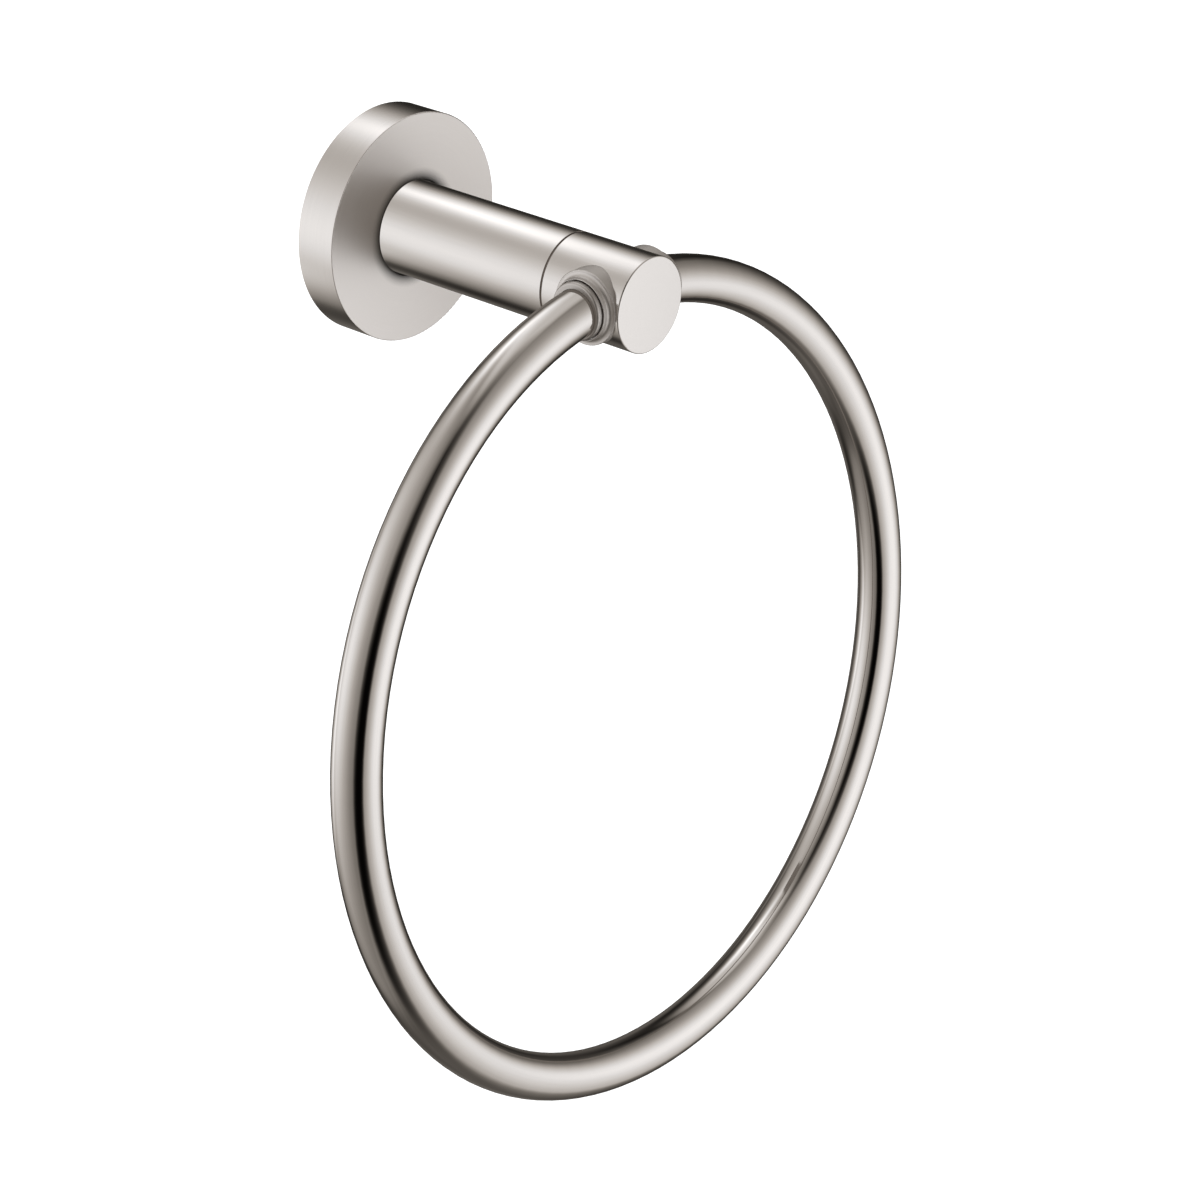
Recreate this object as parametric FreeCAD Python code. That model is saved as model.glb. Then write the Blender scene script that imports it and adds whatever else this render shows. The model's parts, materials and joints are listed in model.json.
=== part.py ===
import FreeCAD, Part
import math
import os

# Towel ring for a bathroom wall. Millimetres.
# Frame: the wall is the plane y = 0 and the post comes out of it along -Y. +Z is up, +X is to the
# right for someone who faces the wall. The origin is on the post's axis, in the plane of the wall.

# Round flange that covers the bracket
FLANGE_DIA = 49.0
FLANGE_DEPTH = 9.8
FLANGE_WALL = 3.0
FLANGE_EDGE_ROUND = 0.2
FLANGE_BACK_BEVEL = 0.3
POST_SEAT_DEPTH = 1.0
POST_SEAT_GAP = 0.1
POST_SEAT_BEVEL = 0.3

# Bracket that is screwed to the wall behind the flange
BRACKET_CLEARANCE = 1.8
BRACKET_PLATE = 2.0
BRACKET_RIM_DEPTH = 5.2
BRACKET_RIM_WIDTH = 3.4
BRACKET_GROOVE_DEPTH = 1.5
BRACKET_GROOVE_FLOOR = 2.8
BRACKET_GROOVE_MOUTH = 3.4
BRACKET_GROOVE_CENTRE = 2.7
BRACKET_CENTRE_HOLE_DIA = 13.4
WALL_SCREW_SPACING = 25.0
WALL_SCREW_HOLE_DIA = 4.5
WALL_SCREW_SLOT_LENGTH = 6.6

# Post and the round head that carries the ring
POST_DIA = 20.0
REACH = 73.5
HEAD_LENGTH = 20.0
HEAD_EDGE_ROUND = 0.3
SEAM_REVEAL_WIDTH = 0.3
SEAM_REVEAL_DEPTH = 0.5
SEAM_BEVEL = 0.25
HEAD_THREAD_DIA = 10.0
HEAD_THREAD_LENGTH = 9.0
HEAD_THREAD_BEVEL = 0.6
THREAD_HOLE_EXTRA = 1.5
DRILL_POINT_ANGLE = 118.0

# Screw that pulls the post against the flange, with its spring washer
POST_SCREW_DIA = 6.0
POST_SCREW_LENGTH = 16.0
POST_SCREW_HEAD_DIA = 10.0
POST_SCREW_HEAD_HEIGHT = 3.3
POST_SCREW_BEVEL = 0.6
POST_SCREW_SOCKET = 4.0
POST_SCREW_SOCKET_DEPTH = 2.0
POST_SCREW_HOLE_GAP = 0.2
WASHER_DIA = 11.8
WASHER_THICKNESS = 1.6
WASHER_SLOT = 0.6
WASHER_SLOT_ANGLE = 35.0
WASHER_HOLE_GAP = 0.1

# Set screw under the flange, which bites the bracket's groove
SET_SCREW_DIA = 4.0
SET_SCREW_SUNK = 0.6
SET_SCREW_DOG_DIA = 2.5
SET_SCREW_DOG_LENGTH = 2.0
SET_SCREW_BEVEL = 0.5
SET_SCREW_SOCKET = 2.0
SET_SCREW_SOCKET_DEPTH = 1.8

# Collars at the two sides of the head
PIVOT_BEHIND_FACE = 8.3
COLLAR_DIA = 15.4
COLLAR_SEAT_FROM_AXIS = 5.6
COLLAR_PROUD = 0.15
COLLAR_EDGE_ROUND = 0.15
COLLAR_COVE_RADIUS = 0.9
COLLAR_LIP_HEIGHT = 1.7
COLLAR_LIP_WIDTH = 0.2
COLLAR_LIP_ROUND = 0.08
COLLAR_GROOVE_WIDTH = 0.15
COLLAR_GROOVE_DEPTH = 0.6
COLLAR_SHOULDER = 0.25

# Bushes that are fixed on the ring and turn in the collars
BUSH_DIA = 11.9
BUSH_LENGTH = 4.7
BUSH_PROUD_OF_LIP = 1.35
BUSH_NOSE_ROUND = 0.5

# Hollow ring, bent to a circle, its ends joined inside the head. The top of its centre line lies
# a little above the pivot, so that it is nearly central where it leaves the bushes.
RING_TUBE_DIA = 10.0
RING_TUBE_WALL = 1.0
RING_BEND_DIA = 170.0
RING_JOINT_GAP = 0.4
RING_RISE = 0.6
RING_TILT = 7.2
SPIGOT_LENGTH = 14.0
BORE_GAP_AROUND_RING = 0.35

# Clearances
PRESS_GAP = 0.02
THREAD_GAP = 0.02
RUNNING_GAP = 0.05
BRAZE_GAP = 0.03

# Places and radii that follow from the sizes above
flange_r = FLANGE_DIA / 2
cavity_r = flange_r - FLANGE_WALL
cavity_depth = FLANGE_DEPTH - FLANGE_WALL
post_r = POST_DIA / 2
post_foot = FLANGE_DEPTH - POST_SEAT_DEPTH
seam = REACH - HEAD_LENGTH
pivot_depth = REACH - PIVOT_BEHIND_FACE
bracket_r = cavity_r - BRACKET_CLEARANCE
groove_r = bracket_r - BRACKET_GROOVE_DEPTH
screw_head_back = cavity_depth - WASHER_THICKNESS
post_hole_end = screw_head_back + POST_SCREW_LENGTH + THREAD_HOLE_EXTRA
head_hole_end = HEAD_THREAD_LENGTH + THREAD_HOLE_EXTRA
collar_r = COLLAR_DIA / 2
collar_face = post_r + COLLAR_PROUD
bush_r = BUSH_DIA / 2
bush_bore_r = bush_r + RUNNING_GAP
collar_lip_face = collar_face + COLLAR_LIP_HEIGHT
bush_outer_face = collar_lip_face + BUSH_PROUD_OF_LIP
bush_inner_face = bush_outer_face - BUSH_LENGTH
tube_r = RING_TUBE_DIA / 2
bend_r = RING_BEND_DIA / 2


def ring_height(x):
    """Height of the ring's centre line over the pivot, x to the side of the middle."""
    return RING_RISE - bend_r + math.sqrt(bend_r ** 2 - x ** 2)


head_bore_r = tube_r + ring_height(0) + BORE_GAP_AROUND_RING
collar_bore_r = tube_r + ring_height(COLLAR_SEAT_FROM_AXIS) + BORE_GAP_AROUND_RING


# Shapes
def outline(place, start, *steps):
    """Closed face. A step is a point, or a pair of points for an arc: one on it and its end."""
    edges = []
    here = start
    for step in steps + (start,):
        if isinstance(step[0], tuple):
            middle, there = step
            edges.append(Part.Arc(place(*here), place(*middle), place(*there)).toShape())
        else:
            there = step
            if there != here:
                edges.append(Part.makeLine(place(*here), place(*there)))
        here = there
    return Part.Face(Part.Wire(edges))


def turned(start, *steps):
    """Solid turned about the post's axis. Points are (radius, depth from the wall)."""
    def place(radius, depth):
        return FreeCAD.Vector(radius, -depth, 0)
    face = outline(place, start, *steps)
    return face.revolve(FreeCAD.Vector(0, 0, 0), FreeCAD.Vector(0, 1, 0), 360)


def turned_on_pivot(side, start, *steps):
    """Solid turned about the ring's pivot. Points are (radius, distance out from the middle)."""
    def place(radius, out):
        return FreeCAD.Vector(side * out, -pivot_depth, radius)
    face = outline(place, start, *steps)
    return face.revolve(FreeCAD.Vector(0, -pivot_depth, 0), FreeCAD.Vector(1, 0, 0), 360)


def round_corner(centre, radius, from_deg, to_deg):
    """Arc step with its middle point and its end, on a circle given in the outline's plane."""
    points = []
    for angle in ((from_deg + to_deg) / 2, to_deg):
        turn = math.radians(angle)
        points.append((centre[0] + radius * math.cos(turn), centre[1] + radius * math.sin(turn)))
    return tuple(points)


def rod(radius, length, base, direction):
    return Part.makeCylinder(radius, length, FreeCAD.Vector(*base), FreeCAD.Vector(*direction))


def hexagon_rod(across_flats, length, base, direction):
    """Six-sided prism, for the sockets of screws."""
    corner = across_flats / math.sqrt(3)
    points = [FreeCAD.Vector(corner * math.cos(k * math.pi / 3), corner * math.sin(k * math.pi / 3), 0)
              for k in range(7)]
    prism = Part.Face(Part.makePolygon(points)).extrude(FreeCAD.Vector(0, 0, length))
    prism.Placement = FreeCAD.Placement(
        FreeCAD.Vector(*base),
        FreeCAD.Rotation(FreeCAD.Vector(0, 0, 1), FreeCAD.Vector(*direction)))
    return prism


def drilled_hole(radius, mouth, end):
    """Blind hole on the post's axis from one depth to another, with the drill's point at its end."""
    point = radius / math.tan(math.radians(DRILL_POINT_ANGLE / 2))
    if end < mouth:
        point = -point
    return turned((0, mouth), (radius, mouth), (radius, end), (0, end + point))


# Bracket
def make_wall_bracket():
    rim_inner_r = bracket_r - BRACKET_RIM_WIDTH
    half_mouth = BRACKET_GROOVE_MOUTH / 2
    half_floor = BRACKET_GROOVE_FLOOR / 2
    body = turned(
        (BRACKET_CENTRE_HOLE_DIA / 2, 0),
        (bracket_r, 0),
        (bracket_r, BRACKET_GROOVE_CENTRE - half_mouth),
        (groove_r, BRACKET_GROOVE_CENTRE - half_floor),
        (groove_r, BRACKET_GROOVE_CENTRE + half_floor),
        (bracket_r, BRACKET_GROOVE_CENTRE + half_mouth),
        (bracket_r, BRACKET_RIM_DEPTH),
        (rim_inner_r, BRACKET_RIM_DEPTH),
        (rim_inner_r, BRACKET_PLATE),
        (BRACKET_CENTRE_HOLE_DIA / 2, BRACKET_PLATE))
    for side in (-1, 1):
        body = body.cut(wall_screw_slot(side * WALL_SCREW_SPACING / 2))
    return body


def wall_screw_slot(x):
    """Round-ended slot through the bracket's plate, lying along X."""
    slot_r = WALL_SCREW_HOLE_DIA / 2
    half_run = WALL_SCREW_SLOT_LENGTH / 2 - slot_r
    slot = Part.makeBox(2 * half_run, BRACKET_PLATE, 2 * slot_r,
                        FreeCAD.Vector(x - half_run, -BRACKET_PLATE, -slot_r))
    for end in (-half_run, half_run):
        slot = slot.fuse(rod(slot_r, BRACKET_PLATE, (x + end, 0, 0), (0, -1, 0)))
    return slot.removeSplitter()


# Flange
def make_wall_flange():
    edge = FLANGE_EDGE_ROUND
    seat_r = post_r + POST_SEAT_GAP
    hole_r = POST_SCREW_DIA / 2 + POST_SCREW_HOLE_GAP
    body = turned(
        (cavity_r, 0),
        (flange_r - FLANGE_BACK_BEVEL, 0),
        (flange_r, FLANGE_BACK_BEVEL),
        (flange_r, FLANGE_DEPTH - edge),
        round_corner((flange_r - edge, FLANGE_DEPTH - edge), edge, 0, 90),
        (seat_r + POST_SEAT_BEVEL, FLANGE_DEPTH),
        (seat_r, FLANGE_DEPTH - POST_SEAT_BEVEL),
        (seat_r, post_foot),
        (hole_r, post_foot),
        (hole_r, cavity_depth),
        (cavity_r, cavity_depth))
    hole = rod(SET_SCREW_DIA / 2 + THREAD_GAP, 2 * FLANGE_WALL,
               (0, -BRACKET_GROOVE_CENTRE, -cavity_r + FLANGE_WALL / 2), (0, 0, -1))
    return body.cut(hole)


def make_flange_set_screw():
    """Headless screw with a dog point that stands in the bracket's groove."""
    tip = groove_r + RUNNING_GAP
    outer_end = flange_r - SET_SCREW_SUNK
    screw_r = SET_SCREW_DIA / 2
    dog_r = SET_SCREW_DOG_DIA / 2
    shoulder = tip + SET_SCREW_DOG_LENGTH

    def place(radius, down):
        return FreeCAD.Vector(radius, -BRACKET_GROOVE_CENTRE, -down)
    face = outline(
        place,
        (0, tip),
        (dog_r, tip),
        (dog_r, shoulder),
        (screw_r - SET_SCREW_BEVEL, shoulder),
        (screw_r, shoulder + SET_SCREW_BEVEL),
        (screw_r, outer_end - SET_SCREW_BEVEL),
        (screw_r - SET_SCREW_BEVEL, outer_end),
        (0, outer_end))
    screw = face.revolve(place(0, 0), FreeCAD.Vector(0, 0, 1), 360)
    socket = hexagon_rod(SET_SCREW_SOCKET, SET_SCREW_SOCKET_DEPTH,
                         (0, -BRACKET_GROOVE_CENTRE, -outer_end), (0, 0, 1))
    return screw.cut(socket)


# Screw and washer behind the flange
def make_post_screw():
    shank_end = screw_head_back + POST_SCREW_LENGTH
    head_r = POST_SCREW_HEAD_DIA / 2
    head_top = screw_head_back - POST_SCREW_HEAD_HEIGHT
    shank_r = POST_SCREW_DIA / 2
    bevel = POST_SCREW_BEVEL
    screw = turned(
        (0, head_top),
        (head_r - bevel, head_top),
        (head_r, head_top + bevel),
        (head_r, screw_head_back),
        (shank_r, screw_head_back),
        (shank_r, shank_end - bevel),
        (shank_r - bevel, shank_end),
        (0, shank_end))
    socket = hexagon_rod(POST_SCREW_SOCKET, POST_SCREW_SOCKET_DEPTH, (0, -head_top, 0), (0, -1, 0))
    return screw.cut(socket)


def make_post_washer():
    """Split spring washer, pressed flat, with its slanted cut."""
    hole_r = POST_SCREW_DIA / 2 + WASHER_HOLE_GAP
    washer = turned(
        (hole_r, screw_head_back),
        (WASHER_DIA / 2, screw_head_back),
        (WASHER_DIA / 2, cavity_depth),
        (hole_r, cavity_depth))
    middle = FreeCAD.Vector(0, -(screw_head_back + cavity_depth) / 2, 0)
    slot = Part.makeBox(WASHER_SLOT, 4 * WASHER_THICKNESS, WASHER_DIA,
                        FreeCAD.Vector(-WASHER_SLOT / 2, -2 * WASHER_THICKNESS, 0))
    slot.rotate(FreeCAD.Vector(0, 0, 0), FreeCAD.Vector(0, 0, 1), WASHER_SLOT_ANGLE)
    slot.translate(middle)
    return washer.cut(slot)


# Post
def make_post():
    reveal_r = post_r - SEAM_REVEAL_DEPTH
    body = turned(
        (0, post_foot),
        (post_r, post_foot),
        (post_r, seam - SEAM_REVEAL_WIDTH),
        (reveal_r, seam - SEAM_REVEAL_WIDTH),
        (reveal_r, seam),
        (0, seam))
    body = body.cut(drilled_hole(POST_SCREW_DIA / 2 + THREAD_GAP, post_foot, post_hole_end))
    return body.cut(drilled_hole(HEAD_THREAD_DIA / 2 + THREAD_GAP, seam, seam - head_hole_end))


# Head
def make_ring_head():
    thread_r = HEAD_THREAD_DIA / 2
    thread_end = seam - HEAD_THREAD_LENGTH
    edge = HEAD_EDGE_ROUND
    body = turned(
        (0, thread_end),
        (thread_r - HEAD_THREAD_BEVEL, thread_end),
        (thread_r, thread_end + HEAD_THREAD_BEVEL),
        (thread_r, seam),
        (post_r - SEAM_BEVEL, seam),
        (post_r, seam + SEAM_BEVEL),
        (post_r, REACH - edge),
        round_corner((post_r - edge, REACH - edge), edge, 0, 90),
        (0, REACH))
    cross_bore = rod(head_bore_r, POST_DIA, (-post_r, -pivot_depth, 0), (1, 0, 0))
    body = body.cut(cross_bore)
    for side in (-1, 1):
        seat = rod(collar_r + PRESS_GAP, post_r,
                   (side * COLLAR_SEAT_FROM_AXIS, -pivot_depth, 0), (side, 0, 0))
        body = body.cut(seat)
    return body


# Collars
def make_collar(side):
    """Disc let into the head, with a cove up to a thin lip and a groove round the bush's nose."""
    groove_wall = bush_bore_r + COLLAR_GROOVE_WIDTH
    lip_outer = groove_wall + COLLAR_LIP_WIDTH
    cove = COLLAR_COVE_RADIUS
    edge = COLLAR_EDGE_ROUND
    lip = COLLAR_LIP_ROUND
    lip_top = collar_lip_face
    cove_centre = (lip_outer + cove, collar_face + cove)
    bush_seat = bush_inner_face - COLLAR_SHOULDER
    return turned_on_pivot(
        side,
        (collar_bore_r, COLLAR_SEAT_FROM_AXIS),
        (collar_r, COLLAR_SEAT_FROM_AXIS),
        (collar_r, collar_face - edge),
        round_corner((collar_r - edge, collar_face - edge), edge, 0, 90),
        (cove_centre[0], collar_face),
        round_corner(cove_centre, cove, 270, 180),
        (lip_outer, lip_top - lip),
        round_corner((lip_outer - lip, lip_top - lip), lip, 0, 90),
        (groove_wall + lip, lip_top),
        round_corner((groove_wall + lip, lip_top - lip), lip, 90, 180),
        (groove_wall, lip_top - COLLAR_GROOVE_DEPTH),
        (bush_bore_r, lip_top - COLLAR_GROOVE_DEPTH),
        (bush_bore_r, bush_seat),
        (collar_bore_r, bush_seat))


# Ring
def ring_arc(outer_r, inner_r, from_deg, to_deg):
    """Stretch of the bent tube, or of a solid rod if inner_r is 0. Angles run from the top."""
    axis = FreeCAD.Vector(0, 1, 0)
    top = FreeCAD.Vector(0, 0, bend_r)
    section = Part.Face(Part.Wire(Part.makeCircle(outer_r, top, FreeCAD.Vector(1, 0, 0))))
    if inner_r > 0:
        bore = Part.Face(Part.Wire(Part.makeCircle(inner_r, top, FreeCAD.Vector(1, 0, 0))))
        section = section.cut(bore).Faces[0]
    section.rotate(FreeCAD.Vector(0, 0, 0), axis, from_deg)
    return hung(section.revolve(FreeCAD.Vector(0, 0, 0), axis, to_deg - from_deg))


def hung(shape):
    """Puts what is drawn about the ring's centre where the ring hangs, tilted away from the wall."""
    shape.translate(FreeCAD.Vector(0, -pivot_depth, RING_RISE - bend_r))
    shape.rotate(FreeCAD.Vector(0, -pivot_depth, 0), FreeCAD.Vector(1, 0, 0), -RING_TILT)
    return shape


def arc_degrees(length):
    return math.degrees(length / bend_r)


def make_towel_ring():
    half_gap = arc_degrees(RING_JOINT_GAP) / 2
    return ring_arc(tube_r, tube_r - RING_TUBE_WALL, half_gap, 360 - half_gap)


def make_ring_spigot():
    half = arc_degrees(SPIGOT_LENGTH) / 2
    return ring_arc(tube_r - RING_TUBE_WALL - PRESS_GAP, 0, -half, half)


def make_bush(side):
    """Round journal about the pivot, bored along the ring's own bend."""
    nose = BUSH_NOSE_ROUND
    journal = turned_on_pivot(
        side,
        (0, bush_inner_face),
        (bush_r, bush_inner_face),
        (bush_r, bush_outer_face - nose),
        round_corner((bush_r - nose, bush_outer_face - nose), nose, 0, 90),
        (0, bush_outer_face))
    reach = arc_degrees(2 * bush_outer_face)
    start = 0 if side > 0 else -reach
    return journal.cut(ring_arc(tube_r + BRAZE_GAP, 0, start, start + reach))


pieces = {
    "wall_bracket": make_wall_bracket(),
    "wall_flange": make_wall_flange(),
    "flange_set_screw": make_flange_set_screw(),
    "post_screw": make_post_screw(),
    "post_washer": make_post_washer(),
    "post": make_post(),
    "ring_head": make_ring_head(),
    "collar_left": make_collar(-1),
    "collar_right": make_collar(1),
    "bush_left": make_bush(-1),
    "bush_right": make_bush(1),
    "towel_ring": make_towel_ring(),
    "ring_spigot": make_ring_spigot(),
}

os.makedirs("parts", exist_ok=True)
for name, shape in pieces.items():
    shape.exportStep("parts/" + name + ".step")
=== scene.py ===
import json
import math

import bpy
import bmesh
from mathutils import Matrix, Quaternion, Vector

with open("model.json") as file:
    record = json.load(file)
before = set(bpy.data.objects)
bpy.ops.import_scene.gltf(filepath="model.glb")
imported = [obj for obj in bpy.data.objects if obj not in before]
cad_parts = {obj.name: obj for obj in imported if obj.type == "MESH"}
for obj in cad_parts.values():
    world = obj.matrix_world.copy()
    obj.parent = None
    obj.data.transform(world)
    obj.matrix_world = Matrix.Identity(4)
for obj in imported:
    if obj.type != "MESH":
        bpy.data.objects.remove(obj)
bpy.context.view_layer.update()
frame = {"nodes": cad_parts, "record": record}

# Camera, fitted to the outlines in the photograph. Metres and degrees.
CAMERA_PLACE = Vector((-0.43617, -0.41925, 0.21568))
CAMERA_AIM = Vector((0.00443, -0.05965, -0.07153))
CAMERA_ROLL = 1.954
CAMERA_LENS = 90.437
SENSOR_WIDTH = 36.0

# Studio
STUDIO_CENTRE = Vector((0.0, -0.055, -0.075))
TENT_RADIUS = 0.45
TENT_SEGMENTS = 96
TENT_RINGS = 48
TENT_DARK = 0.034
TENT_SECOND = 0.25
FIRST_MIRROR = 1.5
TENT_WARM = (1.10, 1.0, 0.88)
FLOOR_LEVEL = -0.25
FLOOR_SIZE = 12.0
FLOOR_COLOUR = (0.86, 0.86, 0.86)
FLOOR_LIFT = 0.45
SOFT_LIGHT = 0.75
BACKDROP_LIGHT = 1.0
PATCH_RIM = 0.2

# The lamp above, in degrees, metres and watts
LAMP_AZIMUTH = 150.0
LAMP_ELEVATION = 60.0
LAMP_DISTANCE = 1.6
LAMP_SIZE = 1.2
LAMP_POWER = 9.0

# Soft boxes on the tent that the metal mirrors: azimuth from the front towards +X, elevation, turn,
# half width and half height in degrees, how hard the edge is, and how bright the box is. These rows
# and the dark cards' come from a program's fit to the photograph's brightness, rounded, and with a few
# values changed.
SOFT_BOXES = [
    ("left", -136.3, 6.0, 55.4, 47.8, 58.0, 1.0, 1.08),
    ("right", 28.9, -16.5, 77.8, 57.5, 54.8, 1.35, 1.2),
    ("top_back", 160.2, 52.4, -44.5, 17.3, 9.1, 0.65, 1.6),
    ("low_right", 169.7, -15.8, 10.7, 41.1, 24.2, 7.0, 0.9),
    ("overhead", 117.3, 66.3, -20.6, 17.7, 43.1, 3.2, 0.63),
    ("low_back", 133.2, -34.6, -103.0, 38.4, 18.2, 2.4, 1.85),
]

# Dark cards between the boxes, in the same order, with how much of the light they take
DARK_CARDS = [
    ("front_upper", -41.9, 4.6, 12.4, 14.4, 87.8, 2.6, 0.93),
    ("front_lower", -45.6, -8.2, -4.8, 17.5, 66.0, 3.7, 0.9),
    ("back", 134.1, -18.3, -41.3, 60.7, 67.6, 4.5, 0.87),
    ("right_shade", -26.3, -29.0, -56.9, 32.0, 88.0, 3.2, 0.23),
    ("floor_shade", 135.4, -52.2, -0.3, 35.0, 74.7, 8.0, 0.6),
]

# The ring, as the CAD model has it: metres, and degrees that it leans away from the wall
PIVOT = Vector(frame["record"]["behaviour"]["joints"][0]["pos_m"])
RING_TILT = 7.2
RING_BEND_RADIUS = 0.085
RING_RISE = 0.0006

# Other metal doesn't mirror these, so that the post's foot stays clean as in the photograph
HIDDEN_FROM_METAL = ("wall_flange", "wall_bracket", "post_screw", "post_washer", "flange_set_screw")

# Finishes
SATIN_NICKEL = (0.73, 0.70, 0.68)
RING_NICKEL = (0.72, 0.69, 0.67)
# The bushes' nickel is a darker copy of the satin nickel: painted shade for their recess between the
# collar's lip and the tube
SHADED_BUSH_NICKEL = (0.60, 0.57, 0.55)
ZINC = (0.60, 0.62, 0.64)
DARK_STEEL = (0.16, 0.16, 0.17)
BRASS = (0.72, 0.55, 0.28)

# The flange's face: its roughness, the share of PAINTED_LIGHT_NICKEL in its colour as painted light, how
# far in metres the painted shade in a corner reaches, how open a corner has to be to darken fully, and the
# share of light that is left there
FACE_ROUGHNESS = 0.4
PAINTED_LIGHT_NICKEL = (0.98, 0.94, 0.915)
FACE_PAINTED_LIGHT = 0.35
PAINTED_SHADE_REACH = 0.003
PAINTED_SHADE_OPEN = 0.6
PAINTED_SHADE_LIGHT = 0.03

# Grain: how often it changes per metre, and how deep it is in metres. Round an axis the grain changes
# with the angle, GRAIN_ALONG / TURNED_PITCH times a radian.
GRAIN_ACROSS = 2200.0
GRAIN_ALONG = 60.0
GRAIN_DEPTH = 0.000002
RING_ALONG = 40.0
RING_DEPTH = 0.000001
PLAIN_GRAIN = 900.0
PLAIN_DEPTH = 0.00001
BRASS_ACROSS = 1800.0
BRASS_DEPTH = 0.000006
TURNED_PITCH = 50
DRIFT_SCALE = 45.0
GRIT_SCALE = 2600.0
STREAK_SHARE = 0.6
DRIFT_SHARE = 0.4
GRIT_SHARE = 0.5
NOISE_LOW = 0.3
NOISE_HIGH = 0.7
TINT_DARK = 0.97
TINT_PALE = 1.02
BUMP_STRENGTH = 0.35


class Nodes:
    """Adds nodes to a tree and links them."""

    def __init__(self, tree):
        self.tree = tree
        tree.nodes.clear()

    def add(self, kind, inputs=None, **settings):
        node = self.tree.nodes.new(kind)
        for name, value in settings.items():
            setattr(node, name, value)
        for name, value in (inputs or {}).items():
            if isinstance(value, bpy.types.NodeSocket):
                self.tree.links.new(value, node.inputs[name])
            else:
                node.inputs[name].default_value = value
        return node

    def math(self, operation, a, b=0.0, **settings):
        return self.add("ShaderNodeMath", {0: a, 1: b}, operation=operation, **settings).outputs[0]

    def dot(self, a, b):
        return self.add("ShaderNodeVectorMath", {0: a, 1: b}, operation="DOT_PRODUCT").outputs["Value"]


def new_material(name):
    material = bpy.data.materials.new(name)
    material.use_nodes = True
    return material, Nodes(material.node_tree)


# Grain
def straight_grain(n, along, across):
    """Coordinates for streaks along Y."""
    place = n.add("ShaderNodeTexCoord").outputs["Object"]
    return n.add("ShaderNodeMapping", {"Vector": place, "Scale": (across, along, across)}).outputs[0]


def turned_grain(n, along, across):
    """Coordinates for streaks that run round the Y axis."""
    place = n.add("ShaderNodeTexCoord").outputs["Object"]
    xyz = n.add("ShaderNodeSeparateXYZ", {0: place})
    angle = n.math("ARCTAN2", xyz.outputs["X"], xyz.outputs["Z"])
    flat = n.add("ShaderNodeCombineXYZ", {0: xyz.outputs["X"], 1: xyz.outputs["Z"]}).outputs[0]
    radius = n.add("ShaderNodeVectorMath", {0: flat}, operation="LENGTH").outputs["Value"]
    return n.add("ShaderNodeCombineXYZ", {
        0: n.math("MULTIPLY", radius, across),
        1: n.math("MULTIPLY", angle, along / TURNED_PITCH),
        2: n.math("MULTIPLY", xyz.outputs["Y"], across),
    }).outputs[0]


def ring_grain(n, along, across):
    """Coordinates for streaks that run along the bent tube."""
    place = n.add("ShaderNodeTexCoord").outputs["Object"]
    tilt = math.radians(RING_TILT)
    out = Vector((0, -math.cos(tilt), math.sin(tilt)))
    up = Vector((0, math.sin(tilt), math.cos(tilt)))
    centre = PIVOT - up * (RING_BEND_RADIUS - RING_RISE)
    local = n.add("ShaderNodeVectorMath", {0: place, 1: centre}, operation="SUBTRACT").outputs[0]
    x = n.dot(local, (1, 0, 0))
    y = n.dot(local, out)
    z = n.dot(local, up)
    angle = n.math("ARCTAN2", x, n.math("MULTIPLY", z, -1))
    flat = n.add("ShaderNodeCombineXYZ", {0: x, 1: z}).outputs[0]
    radius = n.add("ShaderNodeVectorMath", {0: flat}, operation="LENGTH").outputs["Value"]
    return n.add("ShaderNodeCombineXYZ", {
        0: n.math("MULTIPLY", radius, across),
        1: n.math("MULTIPLY", angle, along * RING_BEND_RADIUS),
        2: n.math("MULTIPLY", y, across),
    }).outputs[0]


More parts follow.
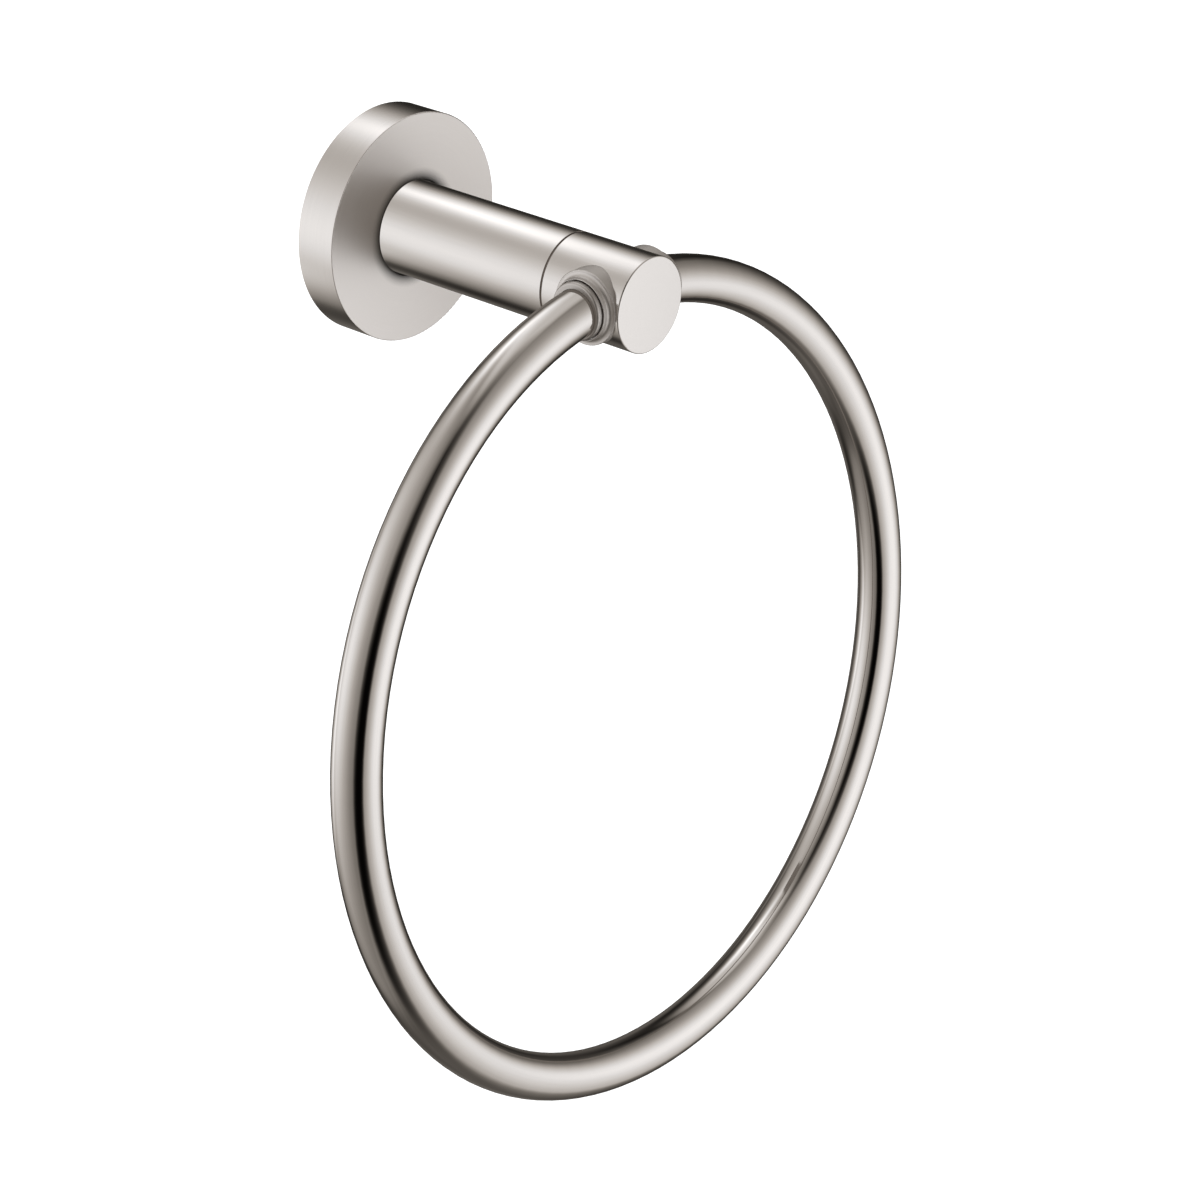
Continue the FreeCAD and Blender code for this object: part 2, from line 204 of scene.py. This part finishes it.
def metal(name, colour, roughness, spread, grain, along, across, depth, face=None):
    """Plated metal: fine streaks and a slow drift in the roughness, and the streaks as bump.

    Where face is given, faces that look along Y have that roughness and are a little paler, which is
    painted light, and the colour darkens in corners, which is painted shade.
    """
    material, n = new_material(name)
    streaks = n.add("ShaderNodeTexNoise", {
        "Vector": grain(n, along, across), "Scale": 1.0, "Detail": 3.0, "Roughness": 0.6,
    }).outputs["Fac"]
    place = n.add("ShaderNodeTexCoord").outputs["Object"]
    drift = n.add("ShaderNodeTexNoise", {
        "Vector": place, "Scale": DRIFT_SCALE, "Detail": 2.0, "Roughness": 0.5,
    }).outputs["Fac"]
    grit = n.add("ShaderNodeTexNoise", {
        "Vector": place, "Scale": GRIT_SCALE, "Detail": 2.0, "Roughness": 0.6,
    }).outputs["Fac"]
    mixed = n.math("ADD", n.math("MULTIPLY", streaks, STREAK_SHARE), n.math("MULTIPLY", drift, DRIFT_SHARE))
    rough = n.add("ShaderNodeMapRange", {
        "Value": mixed, "From Min": NOISE_LOW, "From Max": NOISE_HIGH,
        "To Min": roughness - spread, "To Max": roughness + spread,
    }).outputs["Result"]
    share = n.add("ShaderNodeMapRange", {
        "Value": mixed, "From Min": NOISE_LOW, "From Max": NOISE_HIGH,
    }).outputs["Result"]
    dark = (*(c * TINT_DARK for c in colour), 1)
    light = (*(min(c * TINT_PALE, 1) for c in colour), 1)
    tint = n.add("ShaderNodeMix", {0: share, 6: dark, 7: light}, data_type="RGBA").outputs[2]
    if face is not None:
        normal = n.add("ShaderNodeTexCoord").outputs["Normal"]
        flat = n.math("ABSOLUTE", n.add("ShaderNodeSeparateXYZ", {0: normal}).outputs["Y"])
        rough = n.math("ADD", rough, n.math("MULTIPLY", flat, face - roughness))
        # Painted light: faces that look along Y are mixed towards a paler nickel so that they read brighter
        paler = n.math("MULTIPLY", flat, FACE_PAINTED_LIGHT)
        pale = (*PAINTED_LIGHT_NICKEL, 1)
        tint = n.add("ShaderNodeMix", {0: paler, 6: tint, 7: pale}, data_type="RGBA").outputs[2]
        # Painted shade: the colour darkens in the corner at the post's foot, standing in for the light that
        # the corner mirrors away
        corner = n.add("ShaderNodeAmbientOcclusion", {"Distance": PAINTED_SHADE_REACH}, samples=16).outputs["AO"]
        left = n.add("ShaderNodeMapRange", {
            "Value": corner, "From Min": PAINTED_SHADE_OPEN, "From Max": 1.0, "To Min": PAINTED_SHADE_LIGHT,
        }).outputs["Result"]
        tint = n.add("ShaderNodeVectorMath", {0: tint, "Scale": left}, operation="SCALE").outputs[0]
    height = n.math("ADD", streaks, n.math("MULTIPLY", grit, GRIT_SHARE))
    bump = n.add("ShaderNodeBump", {
        "Height": height, "Strength": BUMP_STRENGTH, "Distance": depth,
    }).outputs[0]
    shader = n.add("ShaderNodeBsdfPrincipled", {
        "Base Color": tint, "Metallic": 1.0, "Roughness": rough, "Normal": bump,
    })
    n.add("ShaderNodeOutputMaterial", {"Surface": shader.outputs[0]})
    return material


def make_finishes():
    """Every finish of the part: colour, roughness and its spread, grain, and depth of the streaks."""
    fine = (GRAIN_ALONG, GRAIN_ACROSS, GRAIN_DEPTH)
    along_ring = (RING_ALONG, GRAIN_ACROSS, RING_DEPTH)
    plain = (PLAIN_GRAIN, PLAIN_GRAIN, PLAIN_DEPTH)
    turned = (GRAIN_ALONG, BRASS_ACROSS, BRASS_DEPTH)
    return {
        "straight": metal("satin_nickel_brushed", SATIN_NICKEL, 0.14, 0.02, straight_grain, *fine),
        "turned": metal("satin_nickel_turned", SATIN_NICKEL, 0.14, 0.02, turned_grain, *fine,
                        FACE_ROUGHNESS),
        "matt": metal("satin_nickel_matt", SATIN_NICKEL, 0.46, 0.03, turned_grain, *fine),
        # The bushes' darker colour is painted shade for their recess
        "journal": metal("bush_nickel_painted_shade", SHADED_BUSH_NICKEL, 0.42, 0.03, turned_grain, *fine),
        "ring": metal("ring_nickel", RING_NICKEL, 0.06, 0.01, ring_grain, *along_ring),
        "zinc": metal("zinc_plated_steel", ZINC, 0.38, 0.06, straight_grain, *plain),
        "dark": metal("dark_steel", DARK_STEEL, 0.35, 0.06, straight_grain, *plain),
        "brass": metal("bare_brass", BRASS, 0.28, 0.05, turned_grain, *turned),
    }


def hide_from_metal():
    """Keeps the flange and what is behind it out of what the metal mirrors."""
    for name in HIDDEN_FROM_METAL:
        frame["nodes"][name].visible_glossy = False


def dress(materials):
    """Gives every CAD node its finish. The solids' own forms are what the photograph shows."""
    wear = {
        "wall_flange": "turned", "post": "straight", "ring_head": "straight",
        "collar_left": "matt", "collar_right": "matt", "bush_left": "journal", "bush_right": "journal",
        "towel_ring": "ring", "wall_bracket": "zinc", "post_screw": "zinc", "post_washer": "zinc",
        "flange_set_screw": "dark", "ring_spigot": "brass",
    }
    for name, finish in wear.items():
        mesh = frame["nodes"][name].data
        mesh.materials.clear()
        mesh.materials.append(materials[finish])


# Studio
def direction(azimuth, elevation):
    a = math.radians(azimuth)
    e = math.radians(elevation)
    return Vector((math.sin(a) * math.cos(e), -math.cos(a) * math.cos(e), math.sin(e)))


def soft_patch(n, look, azimuth, elevation, turn, width, height, edge):
    """1 in the middle of a soft-edged patch of the tent and 0 away from it."""
    forward = direction(azimuth, elevation)
    right = forward.cross(Vector((0, 0, 1))).normalized()
    right = Quaternion(forward, math.radians(-turn)) @ right
    up = right.cross(forward)
    x = n.dot(look, right / math.sin(math.radians(width)))
    y = n.dot(look, up / math.sin(math.radians(height)))
    far = n.math("ADD", n.math("MULTIPLY", x, x), n.math("MULTIPLY", y, y))
    fall = n.math("EXPONENT", n.math("MULTIPLY", n.math("POWER", far, edge), -1))
    facing = n.add("ShaderNodeMapRange", {
        "Value": n.dot(look, forward), "From Max": PATCH_RIM,
    }).outputs["Result"]
    return n.math("MULTIPLY", fall, facing)


def make_tent():
    """The light tent that the metal mirrors. The camera doesn't see it."""
    mesh = bpy.data.meshes.new("light_tent")
    shape = bmesh.new()
    bmesh.ops.create_uvsphere(shape, u_segments=TENT_SEGMENTS, v_segments=TENT_RINGS, radius=TENT_RADIUS)
    bmesh.ops.translate(shape, verts=shape.verts, vec=STUDIO_CENTRE)
    shape.to_mesh(mesh)
    shape.free()
    tent = bpy.data.objects.new("light_tent", mesh)
    bpy.context.scene.collection.objects.link(tent)
    material, n = new_material("tent_cloth")
    place = n.add("ShaderNodeNewGeometry").outputs["Position"]
    away = n.add("ShaderNodeVectorMath", {0: place, 1: STUDIO_CENTRE}, operation="SUBTRACT").outputs[0]
    look = n.add("ShaderNodeVectorMath", {0: away}, operation="NORMALIZE").outputs[0]
    light = TENT_DARK
    for _, azimuth, elevation, turn, width, height, edge, level in SOFT_BOXES:
        patch = soft_patch(n, look, azimuth, elevation, turn, width, height, edge)
        light = n.math("ADD", light, n.math("MULTIPLY", patch, level))
    for _, azimuth, elevation, turn, width, height, edge, level in DARK_CARDS:
        patch = soft_patch(n, look, azimuth, elevation, turn, width, height, edge)
        left = n.math("SUBTRACT", 1.0, n.math("MULTIPLY", patch, level))
        light = n.math("MULTIPLY", light, left)
    # Metal that is seen in other metal is darker, as in the photograph
    mirrored = n.add("ShaderNodeLightPath").outputs["Glossy Depth"]
    second = n.math("GREATER_THAN", mirrored, FIRST_MIRROR)
    light = n.add("ShaderNodeMix", {0: second, 2: light, 3: TENT_SECOND}, data_type="FLOAT").outputs[0]
    # The dim parts are warmer than the boxes
    tone = n.add("ShaderNodeMix", {
        0: light, 6: (*TENT_WARM, 1), 7: (1, 1, 1, 1),
    }, data_type="RGBA").outputs[2]
    glow = n.add("ShaderNodeEmission", {"Color": tone, "Strength": light})
    n.add("ShaderNodeOutputMaterial", {"Surface": glow.outputs[0]})
    mesh.materials.append(material)
    tent.visible_camera = False
    tent.visible_diffuse = False
    tent.visible_transmission = False
    tent.visible_shadow = False


def backdrop_rays(n):
    """1 for the rays that should see the white backdrop."""
    path = n.add("ShaderNodeLightPath").outputs
    seen = n.math("ADD", path["Is Camera Ray"], path["Is Glossy Ray"])
    return n.math("ADD", seen, path["Is Transmission Ray"], use_clamp=True)


def make_world():
    """Plain soft light, with a white backdrop for what is seen."""
    world = bpy.data.worlds.new("studio")
    world.use_nodes = True
    bpy.context.scene.world = world
    n = Nodes(world.node_tree)
    soft = n.add("ShaderNodeBackground", {"Color": (1, 1, 1, 1), "Strength": SOFT_LIGHT})
    white = n.add("ShaderNodeBackground", {"Color": (1, 1, 1, 1), "Strength": BACKDROP_LIGHT})
    both = n.add("ShaderNodeMixShader", {0: backdrop_rays(n), 1: soft.outputs[0], 2: white.outputs[0]})
    n.add("ShaderNodeOutputWorld", {"Surface": both.outputs[0]})


def make_floor():
    """Pale floor under the ring. It keeps the ring's soft shadow."""
    mesh = bpy.data.meshes.new("floor")
    shape = bmesh.new()
    bmesh.ops.create_grid(shape, x_segments=1, y_segments=1, size=FLOOR_SIZE / 2)
    bmesh.ops.translate(shape, verts=shape.verts, vec=(STUDIO_CENTRE.x, STUDIO_CENTRE.y, FLOOR_LEVEL))
    shape.to_mesh(mesh)
    shape.free()
    floor = bpy.data.objects.new("floor", mesh)
    bpy.context.scene.collection.objects.link(floor)
    material, n = new_material("pale_floor")
    paper = n.add("ShaderNodeBsdfDiffuse", {"Color": (*FLOOR_COLOUR, 1), "Roughness": 0.0})
    lift = n.add("ShaderNodeEmission", {
        "Color": (1, 1, 1, 1), "Strength": n.math("MULTIPLY", backdrop_rays(n), FLOOR_LIFT),
    })
    both = n.add("ShaderNodeAddShader", {0: paper.outputs[0], 1: lift.outputs[0]})
    n.add("ShaderNodeOutputMaterial", {"Surface": both.outputs[0]})
    mesh.materials.append(material)
    floor.visible_glossy = False


def make_lamp():
    """Soft lamp above and behind. The metal doesn't mirror it."""
    data = bpy.data.lights.new("overhead_lamp", "AREA")
    data.shape = "DISK"
    data.size = LAMP_SIZE
    data.energy = LAMP_POWER
    lamp = bpy.data.objects.new("overhead_lamp", data)
    lamp.location = STUDIO_CENTRE + direction(LAMP_AZIMUTH, LAMP_ELEVATION) * LAMP_DISTANCE
    lamp.rotation_mode = "QUATERNION"
    lamp.rotation_quaternion = (STUDIO_CENTRE - lamp.location).to_track_quat("-Z", "Y")
    bpy.context.scene.collection.objects.link(lamp)
    lamp.visible_glossy = False


def make_camera():
    data = bpy.data.cameras.new("camera")
    data.sensor_width = SENSOR_WIDTH
    data.lens = CAMERA_LENS
    data.clip_start = 0.01
    camera = bpy.data.objects.new("camera", data)
    camera.location = CAMERA_PLACE
    camera.rotation_mode = "QUATERNION"
    facing = (CAMERA_AIM - CAMERA_PLACE).to_track_quat("-Z", "Y")
    camera.rotation_quaternion = facing @ Quaternion((0, 0, 1), math.radians(CAMERA_ROLL))
    bpy.context.scene.collection.objects.link(camera)
    bpy.context.scene.camera = camera


make_camera()
make_world()
make_floor()
make_tent()
make_lamp()

hide_from_metal()
dress(make_finishes())

scene = bpy.context.scene
scene.view_settings.view_transform = "Standard"
